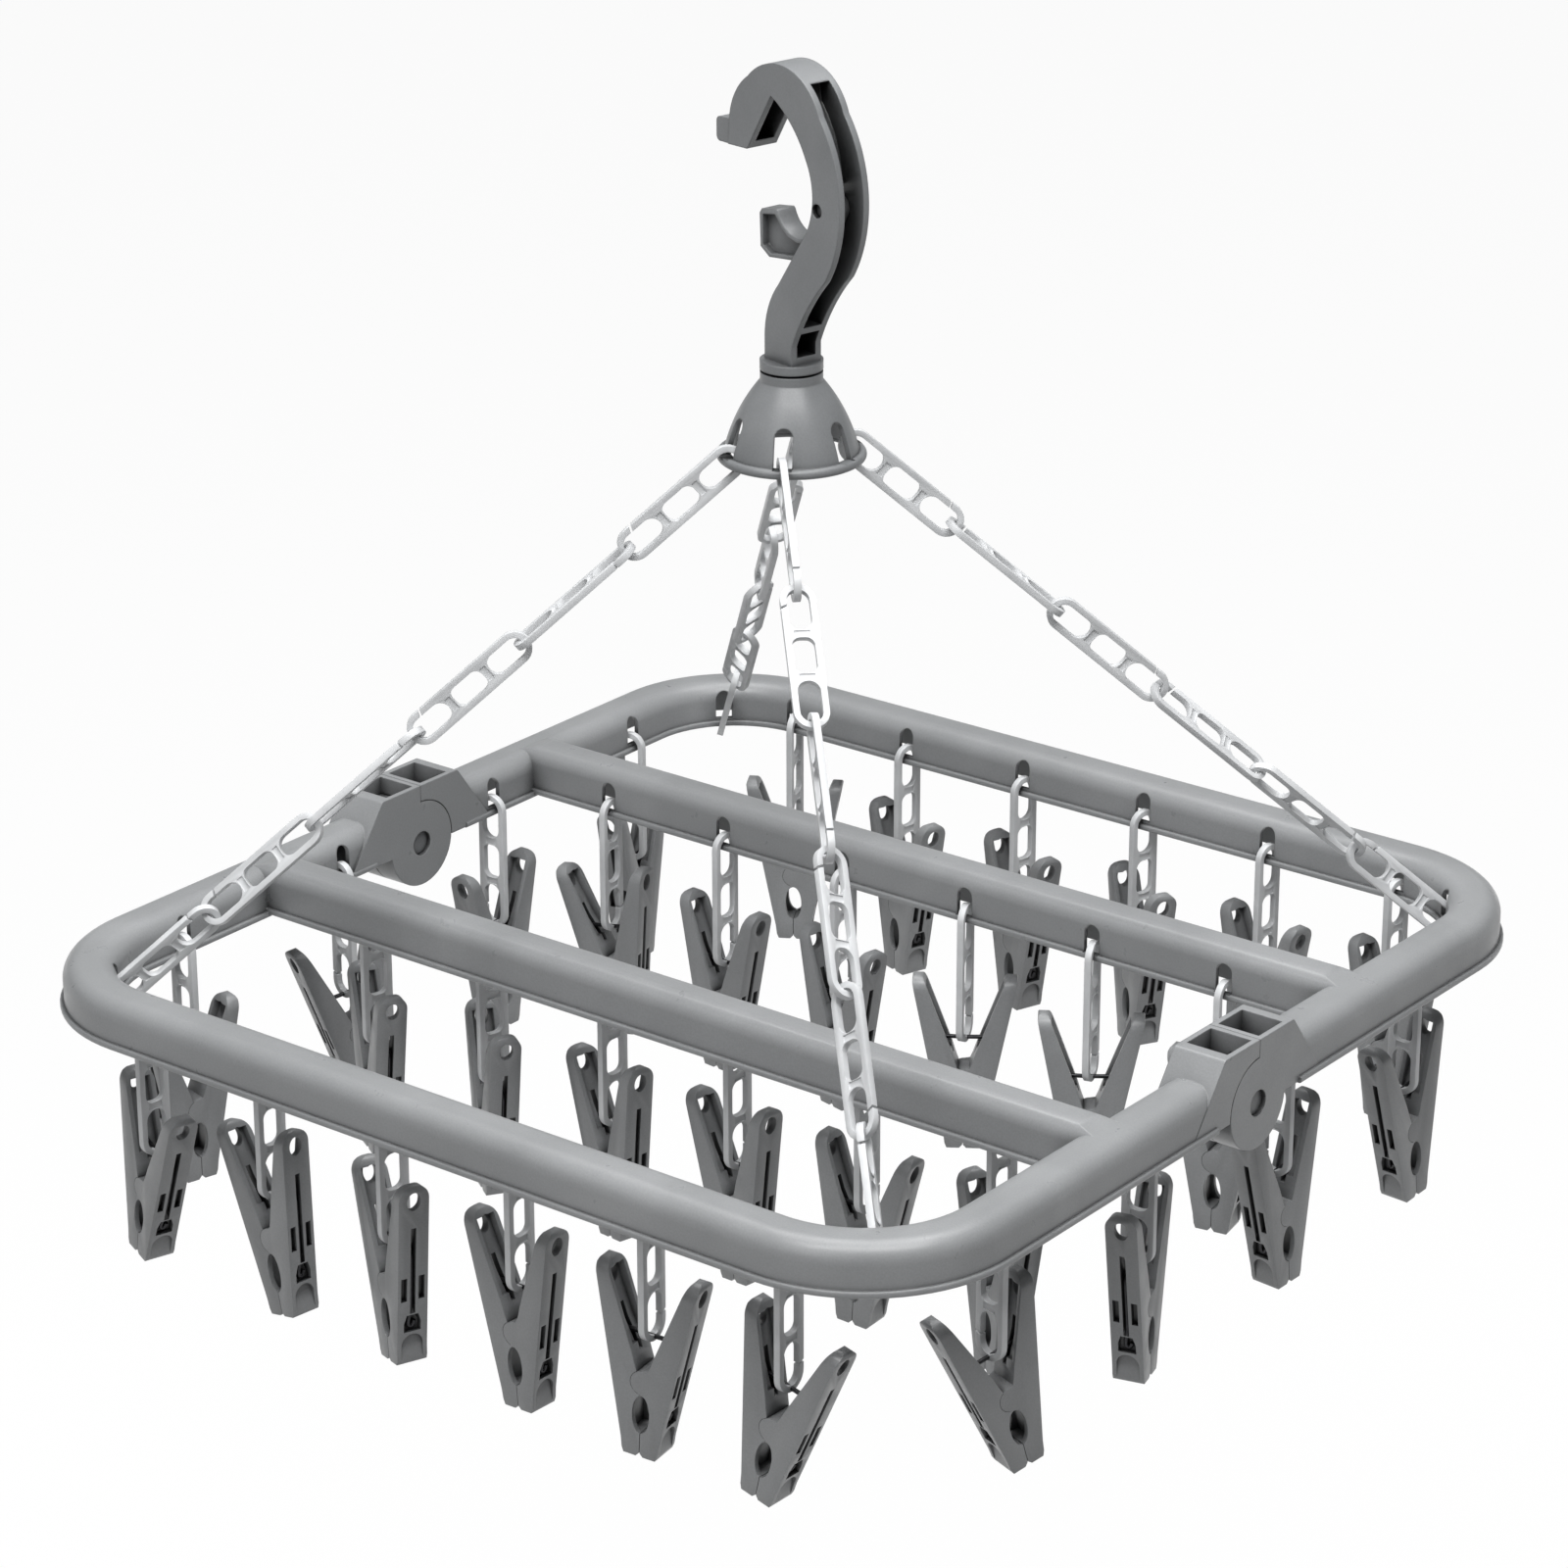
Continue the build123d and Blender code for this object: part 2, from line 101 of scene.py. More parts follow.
def mouldedPlastic(name, look, tinted=False):
    # Flow mottling, fine grain and rubbed high spots on injection-moulded grey plastic.
    material = bpy.data.materials.new(name)
    material.use_nodes = True
    tree = material.node_tree
    shader = tree.nodes["Principled BSDF"]
    place = addNode(tree, "ShaderNodeTexCoord", -1300, 0)
    flow = addNode(tree, "ShaderNodeTexNoise", -1050, 250)
    flow.inputs["Scale"].default_value = 14.0
    flow.inputs["Detail"].default_value = 4.0
    flow.inputs["Distortion"].default_value = 0.8
    grain = addNode(tree, "ShaderNodeTexNoise", -1050, -50)
    grain.inputs["Scale"].default_value = 1400.0
    grain.inputs["Detail"].default_value = 3.0
    rubbed = addNode(tree, "ShaderNodeTexNoise", -1050, -350)
    rubbed.inputs["Scale"].default_value = 110.0
    rubbed.inputs["Detail"].default_value = 6.0
    for texture in (flow, grain, rubbed):
        link(tree, place.outputs["Object"], texture.inputs["Vector"])
    mottle = ramp(tree, -800, 250, ((0.35, 0.0), (0.5, 0.45), (0.65, 1.0)))
    link(tree, flow.outputs["Fac"], mottle.inputs["Fac"])
    body = mixColour(tree, -500, 250, look["low"], look["high"])
    link(tree, mottle.outputs["Color"], body.inputs[0])
    speck = mixColour(tree, -250, 250, (1, 1, 1), (1, 1, 1), "MULTIPLY")
    speck.inputs[0].default_value = 1.0
    speckBand = ramp(tree, -500, 0, ((0.3, 0.94), (0.7, 1.05)))
    link(tree, grain.outputs["Fac"], speckBand.inputs["Fac"])
    link(tree, body.outputs[2], speck.inputs[6])
    link(tree, speckBand.outputs["Color"], speck.inputs[7])
    result = speck.outputs[2]
    if tinted:
        shade = addNode(tree, "ShaderNodeAttribute", -500, 520, attribute_name="batch")
        tint = mixColour(tree, 0, 350, (1, 1, 1), (1, 1, 1), "MULTIPLY")
        tint.inputs[0].default_value = 1.0
        tintBand = ramp(tree, -250, 520, ((0.0, 0.9), (1.0, 1.1)))
        link(tree, shade.outputs["Fac"], tintBand.inputs["Fac"])
        link(tree, result, tint.inputs[6])
        link(tree, tintBand.outputs["Color"], tint.inputs[7])
        result = tint.outputs[2]
    # Painted shade: ambient occlusion darkens the base colour in the recesses, where shade falls.
    shadeOcclusion = addNode(tree, "ShaderNodeAmbientOcclusion", 0, 600, samples=6)
    shadeOcclusion.inputs["Distance"].default_value = look["recess"]
    depth = ramp(tree, 200, 600, ((0.3, 0.03), (0.6, 0.5), (0.88, 1.0)))
    deep = mixColour(tree, 450, 350, (1, 1, 1), (1, 1, 1), "MULTIPLY")
    deep.inputs[0].default_value = 1.0
    link(tree, shadeOcclusion.outputs["AO"], depth.inputs["Fac"])
    link(tree, result, deep.inputs[6])
    link(tree, depth.outputs["Color"], deep.inputs[7])
    link(tree, deep.outputs[2], shader.inputs["Base Color"])
    polish = addNode(tree, "ShaderNodeMapRange", -500, -300)
    polish.inputs["From Min"].default_value = 0.3
    polish.inputs["From Max"].default_value = 0.7
    polish.inputs["To Min"].default_value = look["rough"][0]
    polish.inputs["To Max"].default_value = look["rough"][1]
    link(tree, rubbed.outputs["Fac"], polish.inputs["Value"])
    link(tree, polish.outputs["Result"], shader.inputs["Roughness"])
    bump = addNode(tree, "ShaderNodeBump", -250, -550)
    bump.inputs["Strength"].default_value = 0.12
    bump.inputs["Distance"].default_value = 0.0002
    link(tree, grain.outputs["Fac"], bump.inputs["Height"])
    if look["round"]:
        soften = addNode(tree, "ShaderNodeBevel", -500, -700, samples=6)
        soften.inputs["Radius"].default_value = look["round"]
        link(tree, soften.outputs["Normal"], bump.inputs["Normal"])
    link(tree, bump.outputs["Normal"], shader.inputs["Normal"])
    shader.inputs["Specular IOR Level"].default_value = 0.45
    return material


def milkyPlastic():
    # Natural white plastic, cloudier in places.
    material = bpy.data.materials.new("milkyLinkPlastic")
    material.use_nodes = True
    tree = material.node_tree
    shader = tree.nodes["Principled BSDF"]
    place = addNode(tree, "ShaderNodeTexCoord", -1000, 0)
    cloud = addNode(tree, "ShaderNodeTexNoise", -750, 150)
    cloud.inputs["Scale"].default_value = 60.0
    cloud.inputs["Detail"].default_value = 5.0
    ripple = addNode(tree, "ShaderNodeTexNoise", -750, -150)
    ripple.inputs["Scale"].default_value = 110.0
    ripple.inputs["Detail"].default_value = 0.0
    for texture in (cloud, ripple):
        link(tree, place.outputs["Object"], texture.inputs["Vector"])
    band = ramp(tree, -500, 150, ((0.35, 0.0), (0.65, 1.0)))
    link(tree, cloud.outputs["Fac"], band.inputs["Fac"])
    body = mixColour(tree, -250, 150, milkyLink["low"], milkyLink["high"])
    link(tree, band.outputs["Color"], body.inputs[0])
    link(tree, body.outputs[2], shader.inputs["Base Color"])
    shader.inputs["Roughness"].default_value = milkyLink["rough"]
    bump = addNode(tree, "ShaderNodeBump", -250, -250)
    bump.inputs["Strength"].default_value = 0.06
    bump.inputs["Distance"].default_value = 0.0003
    link(tree, ripple.outputs["Fac"], bump.inputs["Height"])
    link(tree, bump.outputs["Normal"], shader.inputs["Normal"])
    return material


def darkWire():
    material = bpy.data.materials.new("darkSpringWire")
    material.use_nodes = True
    tree = material.node_tree
    shader = tree.nodes["Principled BSDF"]
    place = addNode(tree, "ShaderNodeTexCoord", -900, 0)
    scale = addNode(tree, "ShaderNodeTexNoise", -650, 100)
    scale.inputs["Scale"].default_value = 700.0
    scale.inputs["Detail"].default_value = 5.0
    link(tree, place.outputs["Object"], scale.inputs["Vector"])
    body = mixColour(tree, -350, 100, springWire["low"], springWire["high"])
    link(tree, scale.outputs["Fac"], body.inputs[0])
    link(tree, body.outputs[2], shader.inputs["Base Color"])
    shader.inputs["Metallic"].default_value = 0.8
    shader.inputs["Roughness"].default_value = springWire["rough"]
    bump = addNode(tree, "ShaderNodeBump", -250, -200)
    bump.inputs["Strength"].default_value = 0.2
    bump.inputs["Distance"].default_value = 0.0001
    link(tree, scale.outputs["Fac"], bump.inputs["Height"])
    link(tree, bump.outputs["Normal"], shader.inputs["Normal"])
    return material


barPlastic = mouldedPlastic("barPlastic", mouldedGrey["bars"])
hookPlastic = mouldedPlastic("hookPlastic", mouldedGrey["hook"])
pegPlastic = mouldedPlastic("pegPlastic", mouldedGrey["pegs"], tinted=True)
linkPlastic = milkyPlastic()
wireSteel = darkWire()
print("materials made")


# ---------- mesh helpers ----------

def evaluatedMesh(obj, name):
    # The object's result as a plain mesh; the object is removed.
    graph = bpy.context.evaluated_depsgraph_get()
    mesh = bpy.data.meshes.new_from_object(obj.evaluated_get(graph), depsgraph=graph)
    mesh.name = name
    bpy.data.objects.remove(obj)
    return mesh


def asObject(mesh, name):
    obj = bpy.data.objects.new(name, mesh)
    bpy.context.scene.collection.objects.link(obj)
    return obj


def slab(name, outlines, thick):
    # Closed outlines (mm, in x and z), extruded both ways along y.
    curve = bpy.data.curves.new(name, "CURVE")
    curve.dimensions = "2D"
    curve.fill_mode = "BOTH"
    curve.extrude = thick / 2000.0
    for outline in outlines:
        spline = curve.splines.new("POLY")
        spline.points.add(len(outline) - 1)
        for point, (x, z) in zip(spline.points, outline):
            point.co = (x / 1000.0, z / 1000.0, 0, 1)
        spline.use_cyclic_u = True
    mesh = evaluatedMesh(asObject(curve, name), name)
    mesh.transform(Matrix.Rotation(math.radians(90), 4, "X"))
    shape = bmesh.new()
    shape.from_mesh(mesh)
    bmesh.ops.remove_doubles(shape, verts=shape.verts, dist=1e-6)
    bmesh.ops.recalc_face_normals(shape, faces=shape.faces)
    shape.to_mesh(mesh)
    shape.free()
    return asObject(mesh, name)


def turned(obj, matrix):
    obj.data.transform(matrix)
    return obj


def rod(name, radius, length, middle, sides=32):
    # A cylinder along y, mm.
    shape = bmesh.new()
    bmesh.ops.create_cone(shape, cap_ends=True, segments=sides, radius1=radius / 1000.0,
                          radius2=radius / 1000.0, depth=length / 1000.0)
    quarter = Matrix.Rotation(math.radians(90), 4, "X")
    bmesh.ops.transform(shape, matrix=Matrix.Translation(scaled(*middle)) @ quarter, verts=shape.verts)
    mesh = bpy.data.meshes.new(name)
    shape.to_mesh(mesh)
    shape.free()
    return asObject(mesh, name)


def combine(base, tools, operation):
    # Cuts away, adds or keeps what is common, one tool after another.
    for tool in tools:
        step = base.modifiers.new("step", "BOOLEAN")
        step.operation = operation
        step.solver = "EXACT"
        step.object = tool
    name = base.name
    mesh = evaluatedMesh(base, name)
    for tool in tools:
        bpy.data.objects.remove(tool)
    return asObject(mesh, name)


def softened(obj, width, angle=35.0):
    # Small rounds on every edge, then smooth faces.
    rounds = obj.modifiers.new("rounds", "BEVEL")
    rounds.width = width / 1000.0
    rounds.segments = 2
    rounds.limit_method = "ANGLE"
    rounds.angle_limit = math.radians(angle)
    rounds.use_clamp_overlap = True
    mesh = evaluatedMesh(obj, obj.name)
    for face in mesh.polygons:
        face.use_smooth = True
    mesh.set_sharp_from_angle(angle=math.radians(38))
    return mesh


def arcPoints(centre, radius, start, end, count):
    return [(centre[0] + radius * math.cos(math.radians(start + (end - start) * i / count)),
             centre[1] + radius * math.sin(math.radians(start + (end - start) * i / count)))
            for i in range(count + 1)]


# ---------- copies along a row, by Geometry Nodes ----------

def copiesTree():
    tree = bpy.data.node_groups.new("copiesOnRow", "GeometryNodeTree")
    tree.interface.new_socket("Points", in_out="INPUT", socket_type="NodeSocketGeometry")
    tree.interface.new_socket("Piece", in_out="INPUT", socket_type="NodeSocketObject")
    tree.interface.new_socket("Finish", in_out="INPUT", socket_type="NodeSocketMaterial")
    tree.interface.new_socket("Batch Seed", in_out="INPUT", socket_type="NodeSocketInt")
    tree.interface.new_socket("Row", in_out="OUTPUT", socket_type="NodeSocketGeometry")
    start = addNode(tree, "NodeGroupInput", -900, 0)
    piece = addNode(tree, "GeometryNodeObjectInfo", -650, -150, transform_space="ORIGINAL")
    turn = addNode(tree, "GeometryNodeInputNamedAttribute", -900, -350, data_type="FLOAT_VECTOR")
    turn.inputs["Name"].default_value = "turn"
    toTurn = addNode(tree, "FunctionNodeEulerToRotation", -650, -350)
    copies = addNode(tree, "GeometryNodeInstanceOnPoints", -400, 0)
    chance = addNode(tree, "FunctionNodeRandomValue", -400, -350, data_type="FLOAT")
    batch = addNode(tree, "GeometryNodeStoreNamedAttribute", -150, 0, data_type="FLOAT", domain="INSTANCE")
    batch.inputs["Name"].default_value = "batch"
    real = addNode(tree, "GeometryNodeRealizeInstances", 100, 0)
    finish = addNode(tree, "GeometryNodeSetMaterial", 300, 0)
    end = addNode(tree, "NodeGroupOutput", 500, 0)
    link(tree, start.outputs["Points"], copies.inputs["Points"])
    link(tree, start.outputs["Piece"], piece.inputs["Object"])
    link(tree, piece.outputs["Geometry"], copies.inputs["Instance"])
    link(tree, turn.outputs["Attribute"], toTurn.inputs["Euler"])
    link(tree, toTurn.outputs["Rotation"], copies.inputs["Rotation"])
    link(tree, start.outputs["Batch Seed"], chance.inputs["Seed"])
    link(tree, copies.outputs["Instances"], batch.inputs["Geometry"])
    link(tree, next(s for s in chance.outputs if s.enabled), batch.inputs["Value"])
    link(tree, batch.outputs["Geometry"], real.inputs["Geometry"])
    link(tree, real.outputs["Geometry"], finish.inputs["Geometry"])
    link(tree, start.outputs["Finish"], finish.inputs["Material"])
    link(tree, finish.outputs["Geometry"], end.inputs["Row"])
    return tree


rowTree = copiesTree()


def copiesOf(name, prototype, places, finish, seed):
    # One plain mesh that holds a copy of the prototype at every place.
    mesh = bpy.data.meshes.new(name + "Places")
    mesh.from_pydata([tuple(place.to_translation()) for place in places], [], [])
    turn = mesh.attributes.new("turn", "FLOAT_VECTOR", "POINT")
    for slotValue, place in zip(turn.data, places):
        slotValue.vector = Vector(place.to_euler("XYZ"))
    points = asObject(mesh, name + "Places")
    row = points.modifiers.new("row", "NODES")
    row.node_group = rowTree
    values = {"Piece": prototype, "Finish": finish, "Batch Seed": seed}
    for item in rowTree.interface.items_tree:
        if item.item_type == "SOCKET" and item.in_out == "INPUT" and item.name in values:
            row[item.identifier] = values[item.name]
    made = evaluatedMesh(points, name)
    return asObject(made, name)


# ---------- ladder links ----------

ladderLink = {"length": 58.4, "width": 13.0, "thick": 2.6, "rail": 2.3, "endWindow": 16.6,
              "rung": 3.0, "windowRound": 3.2, "gap": 0.9, "gapReach": 4.0, "gapLean": 68.0, "edgeRound": 0.55,
              "thinHalfWidth": 2.9, "thinHalfHeight": 1.3, "thinDepth": 0.45}


def stadium(length, width, z):
    # Upright slot outline centred at height z.
    radius = width / 2
    reach = length / 2 - radius
    return (arcPoints((0, z + reach), radius, 0, 180, 14) + arcPoints((0, z - reach), radius, 180, 360, 14))


def roundedWindow(length, width, radius, z):
    corners = ((1, 1, 0), (-1, 1, 90), (-1, -1, 180), (1, -1, 270))
    outline = []
    for sx, sz, start in corners:
        centre = (sx * (width / 2 - radius), z + sz * (length / 2 - radius))
        outline += arcPoints(centre, radius, start, start + 90, 6)
    return outline


def makeLadderLink():
    size = ladderLink
    inside = size["width"] - 2 * size["rail"]
    middle = size["length"] - 2 * (size["rail"] + size["endWindow"] + size["rung"])
    shift = middle / 2 + size["rung"] + size["endWindow"] / 2
    down = -(size["length"] - size["width"]) / 2  # the top ring's centre is the link's origin
    outlines = [stadium(size["length"], size["width"], down),
                stadium(size["endWindow"], inside, down + shift),
                stadium(size["endWindow"], inside, down - shift),
                roundedWindow(middle, inside, size["windowRound"], down)]
    body = slab("ladderLink", outlines, size["thick"])
    half, reach = size["gap"] / 2, size["gapReach"]
    cut = slab("snapGap", [[(-half, -reach), (half, -reach), (half, reach), (-half, reach)]], 6)
    tip = Matrix.Translation(scaled((size["width"] - size["rail"]) / 2, 0, down - shift - 1.5))
    turned(cut, tip @ Matrix.Rotation(math.radians(size["gapLean"]), 4, "Y"))
    body = combine(body, [cut], "DIFFERENCE")
    # The rungs are thinner than the rails.
    thin = []
    wide, tall = size["thinHalfWidth"], size["thinHalfHeight"]
    outward = size["thick"] / 2 + 0.5 - size["thinDepth"]
    for z in (down + middle / 2 + size["rung"] / 2, down - middle / 2 - size["rung"] / 2):
        low, high = z - tall, z + tall
        for side in (-1, 1):
            pad = slab("thin", [[(-wide, low), (wide, low), (wide, high), (-wide, high)]], 1.0)
            thin.append(turned(pad, Matrix.Translation(scaled(0, side * outward, 0))))
    body = combine(body, thin, "DIFFERENCE")
    mesh = softened(body, size["edgeRound"], 50)
    mesh.transform(Matrix.Rotation(math.radians(90), 4, "Z"))  # width along y
    return asObject(mesh, "ladderLinkPattern")


linkPattern = makeLadderLink()
print("link pattern", len(linkPattern.data.polygons))


# ---------- pegs ----------

peg = {"thick": 12.0, "foot": -96.2, "head": -23.5, "pivot": -67.0, "lean": 20.4, "wireHeight": -50.65,
       "nose": 4.6, "play": 0.15, "wire": 0.85, "footX": 7.7, "headX": 21.0, "legDepth": 1.9,
       "bendReach": 6.0}
pegHoles = {"ring": (2.7, 3.6, -30.2), "oval": (3.5, 7.5, -79.5), "slot": (-57.0, -41.0), "slotWidth": 2.1,
            "groove": (-76.0, -56.0), "window": (-70.5, -61.0, 2.3, 4.7), "crook": (-83.4, -74.0, 3.4),
            "toe": (-97.2, -84.6, 4.3)}


def outerFace(z):
    low = peg["foot"] + 6
    return peg["footX"] + (z - low) * (peg["headX"] - peg["footX"]) / (peg["head"] - low)


def innerFace(z):
    return math.tan(math.radians(peg["lean"])) * (z - peg["pivot"])


def pegOutline(nosed):
    # One jaw's side view, on the right of the parting line.
    inside = [(0.12, peg["foot"] + 1.4), (0.12, -72.5)]
    if nosed:
        inside += arcPoints((0, peg["pivot"]), peg["nose"], 250, 90, 14)
        inside += [(2.2, -62.0), (3.3, -59.4)]
    else:
        inside += arcPoints((0, peg["pivot"]), peg["nose"] + peg["play"], -80, 62, 12)
        inside += [(2.9, -61.0), (3.5, -59.2)]
    inside += [(innerFace(z) + 0.3, z) for z in (-55.0, -48.0, -40.0, -32.0, -28.0)]
    top = [(15.7, -25.6), (16.3, -24.4), (17.3, -23.7), (18.5, -23.5), (19.6, -23.7), (20.3, -24.4), (20.6, -25.6)]
    outside = [(outerFace(z), z) for z in (-30.0, -45.0, -60.0, -75.0, -90.2)]
    return inside + top + outside + [(7.2, -94.2), (6.4, -96.2), (1.4, -96.2)]


def ellipse(halfWidth, halfHeight, z, count=32):
    angles = [math.tau * i / count for i in range(count)]
    return [(halfWidth * math.cos(a), z + halfHeight * math.sin(a)) for a in angles]


def faceCut(name, low, high, depth, wide, across=0.0):
    # A recess of one depth under a jaw's outer face, between two heights.
    outline = [(outerFace(low) - depth, low), (outerFace(high) - depth, high),
               (outerFace(high) + 3, high), (outerFace(low) + 3, low)]
    return turned(slab(name, [outline], wide), Matrix.Translation(scaled(0, across, 0)))


def facing(obj):
    # From the side view's plane to the front view's.
    return turned(obj, Matrix.Rotation(math.radians(90), 4, "Z"))


def makePegJaw(nosed):
    thick = peg["thick"]
    jaw = slab("jaw", [pegOutline(nosed)], thick)
    # The front view: straight sides and a round handle end.
    front = [(-6, -97.2), (6, -97.2), (6, -30.4)] + arcPoints((0, -29.6), 6.0, 0, 180, 20) + [(-6, -30.4)]
    jaw = combine(jaw, [facing(slab("front", [front], 80))], "INTERSECT")
    ring, oval = pegHoles["ring"], pegHoles["oval"]
    slotLow, slotHigh = pegHoles["slot"]
    cuts = [facing(slab("ring", [ellipse(*ring)], 80)), slab("cheekHole", [ellipse(*oval)], 20)]
    cuts.append(slab("slot", [[(0, slotLow), (30, slotLow), (30, slotHigh), (0, slotHigh)]], pegHoles["slotWidth"]))
    cuts.append(faceCut("groove", *pegHoles["groove"], 3.1, 2.1))
    low, high, near, far = pegHoles["window"]
    for side in (-1, 1):
        cuts.append(faceCut("window", low, high, 2.6, far - near, side * (near + far) / 2))
    low, high, half = pegHoles["crook"]
    peak = [(-half, low), (half, low), (half, low + 3.6), (1.1, high + 1), (-1.1, high + 1), (-half, low + 3.6)]
    crook = turned(facing(slab("crook", [peak], 3.8)), Matrix.Translation(scaled(outerFace(-80) - 1.2, 0, 0)))
    cuts.append(crook)
    cuts.append(slab("hollow", [[(-1, -87.0), (4.6, -87.0), (4.6, -72.0), (-1, -72.0)]], 8.0))
    low, high, half = pegHoles["toe"]
    arch = [(-half, low - 2), (half, low - 2), (half, high - half)] + arcPoints((0, high - half), half, 0, 180, 14)
    scoop = facing(slab("toe", [arch], 4.0))
    tilt = Matrix.Translation(scaled(outerFace(-90), 0, -90.0)) @ Matrix.Rotation(math.radians(-4), 4, "Y")
    cuts.append(turned(scoop, tilt @ Matrix.Translation(scaled(1.0, 0, 90.0))))
    shell = ((-54, -3), (-54, 1.6), (-46, 3.0), (-27, 3.4), (-27, -3))
    cuts.append(slab("scoop", [[(innerFace(z) + deep, z) for z, deep in shell]], 8.4))
    jaw = combine(jaw, cuts, "DIFFERENCE")
    mesh = softened(jaw, 0.32)
    if not nosed:
        mesh.transform(Matrix.Scale(-1, 4, (1, 0, 0)))
        mesh.flip_normals()
    return asObject(mesh, "nosedJawPattern" if nosed else "plainJawPattern")


nosedJaw = makePegJaw(True)
plainJaw = makePegJaw(False)
jawPatterns = {1: nosedJaw, -1: plainJaw}
print("jaw patterns", len(nosedJaw.data.polygons), len(plainJaw.data.polygons))


def makeSpring():
    # A bent wire: the arch between the handles, a leg down each jaw, and a small crook at its foot.
    deep = peg["legDepth"]
    # Each: the height whose outer face it lies under, how much further in, across, height.
    stations = ((-80, 0, 1.5, -79.6), (-82, 0, 0.9, -81.9), (-82, 0, -1.0, -81.6), (-79, 0, -0.9, -78.8),
                (-75, 0, 0.0, -75.0), (-62, 0, 0.0, -62.0), (-53.5, 0, 0.0, -53.5), (-51, 0.8, 0.0, -51.4),
                (-51, 3.0, 0.0, -50.2))
    leg = [(outerFace(face) - deep - further, across, z) for face, further, across, z in stations]
    line = [(-x, -y, z) for x, y, z in leg] + [(0, 0, peg["wireHeight"])] + leg[::-1]
    curve = bpy.data.curves.new("springLine", "CURVE")
    curve.dimensions = "3D"
    curve.bevel_depth = peg["wire"] / 1000.0
    curve.bevel_resolution = 3
    curve.use_fill_caps = True
    spline = curve.splines.new("NURBS")
    spline.points.add(len(line) - 1)
    for point, place in zip(spline.points, line):
        point.co = (*scaled(*place), 1)
    spline.order_u = 3
    spline.use_endpoint_u = True
    spline.resolution_u = 4
    mesh = evaluatedMesh(asObject(curve, "springLine"), "springPattern")
    for face in mesh.polygons:
        face.use_smooth = True
    return asObject(mesh, "springPattern")


springPattern = makeSpring()

# Where each peg hangs: the turn on its link and the lean, degrees.
pegRows = {
    "front_outer": {"y": -195.5, "turns": ((-18, -11), (-8, 13), (-22, 6), (-3, 4), (8, -3), (-2, -13))},
    "front_cross": {"y": -71.8, "turns": ((-30, 0), (-34, 0), (-14, 6), (-8, 5), (3, -3), (-20, 0))},
    "rear_cross": {"y": 71.8, "turns": ((10, 8), (-5, 0), (-12, 0), (34, 0), (34, 0), (10, 0))},
    "rear_outer": {"y": 195.5, "turns": ((30, 0), (-19, 0), (-20, 0), (-30, 0), (-12, 0), (-15, 0))},
    "front_end": {"y": -135.4, "turns": ((-15, 0), (-20, 16))},
    "front_mid": {"y": -45.5, "turns": ((-20, 9), (15, 0))},
    "rear_mid": {"y": 45.5, "turns": ((0, 0), (-5, 4))},
    "rear_end": {"y": 135.4, "turns": ((10, 0), (-4, 6))},
}
pegSpacing = {"pitch": 60.0, "sideX": 191.4, "bridge": -0.25, "linkShare": 0.5, "linkMost": 16.0}


def rowPlaces(row):
    turns = pegRows[row]["turns"]
    if len(turns) == 2:
        return [(side * pegSpacing["sideX"], 90.0, *turn) for side, turn in zip((-1, 1), turns)]
    middle = (len(turns) - 1) / 2
    return [((i - middle) * pegSpacing["pitch"], 0.0, *turn) for i, turn in enumerate(turns)]


def pegMatrix(row, place):
    x, base, turn, lean = place
    stand = Matrix.Translation(scaled(x, pegRows[row]["y"], -foldDrop))
    swing = (Matrix.Translation(scaled(0, 0, peg["wireHeight"])) @ Matrix.Rotation(math.radians(-lean), 4, "Y")
             @ Matrix.Translation(scaled(0, 0, -peg["wireHeight"])))
    return stand @ Matrix.Rotation(math.radians(base + turn), 4, "Z") @ swing


def linkMatrix(row, place):
    x, base, turn, lean = place
    most = pegSpacing["linkMost"]
    give = max(-most, min(most, pegSpacing["linkShare"] * turn))
    stand = Matrix.Translation(scaled(x, pegRows[row]["y"], pegSpacing["bridge"] - foldDrop))
    return stand @ Matrix.Rotation(math.radians(base + give), 4, "Z")


def dress(piece, body, slotName, *replaced):
    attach(piece, body)
    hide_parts(*replaced)
    return piece


def makePegRows():
    for number, row in enumerate(pegRows):
        places = rowPlaces(row)
        longRow = len(places) > 2
        body = row + "_row"
        camel = "".join(part.capitalize() for part in row.split("_"))
        links = copiesOf("links" + camel, linkPattern, [linkMatrix(row, p) for p in places], linkPlastic, number)
        jawNode = row + ("_fixed_jaws" if longRow else "_links_and_fixed_jaws")
        dress(links, body, "links", row + "_links" if longRow else jawNode)
        for side in (-1, 1):
            own = [p for p in places if (1 if p[3] > 0 else -1) == side]
            if own:
                label = "fixedJaws" + camel + ("Right" if side > 0 else "Left")
                stands = [pegMatrix(row, p) for p in own]
                jaws = copiesOf(label, jawPatterns[side], stands, pegPlastic, number + 20 * side)
                dress(jaws, body, "jaws", jawNode)
        for i, p in enumerate(places, 1):
            side = -1 if p[3] > 0 else 1
            jaw = copiesOf("movingJaw%s%d" % (camel, i), jawPatterns[side], [pegMatrix(row, p)], pegPlastic,
                           number * 8 + i)
            jawBody = "%s_jaw_%d" % (row, i)
            dress(jaw, jawBody, "jaws", "%s_moving_jaw_%d" % (row, i))
            # The whole wire is set at the peg's place and is fixed to no body.
            spring = copiesOf("spring%s%d" % (camel, i), springPattern, [pegMatrix(row, p)], wireSteel, number)
            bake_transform(spring)
            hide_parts(row + "_springs")


makePegRows()
print("pegs, links and springs placed")


# ---------- chains ----------

hubChain = {"bridgeRadius": 25.5, "bridgeHeight": 202.2, "angle": 60.0, "corner": (179.45, 183.55, -0.25),
            "count": 6, "rolls": (0, 88, -4, 60, -40, 20)}


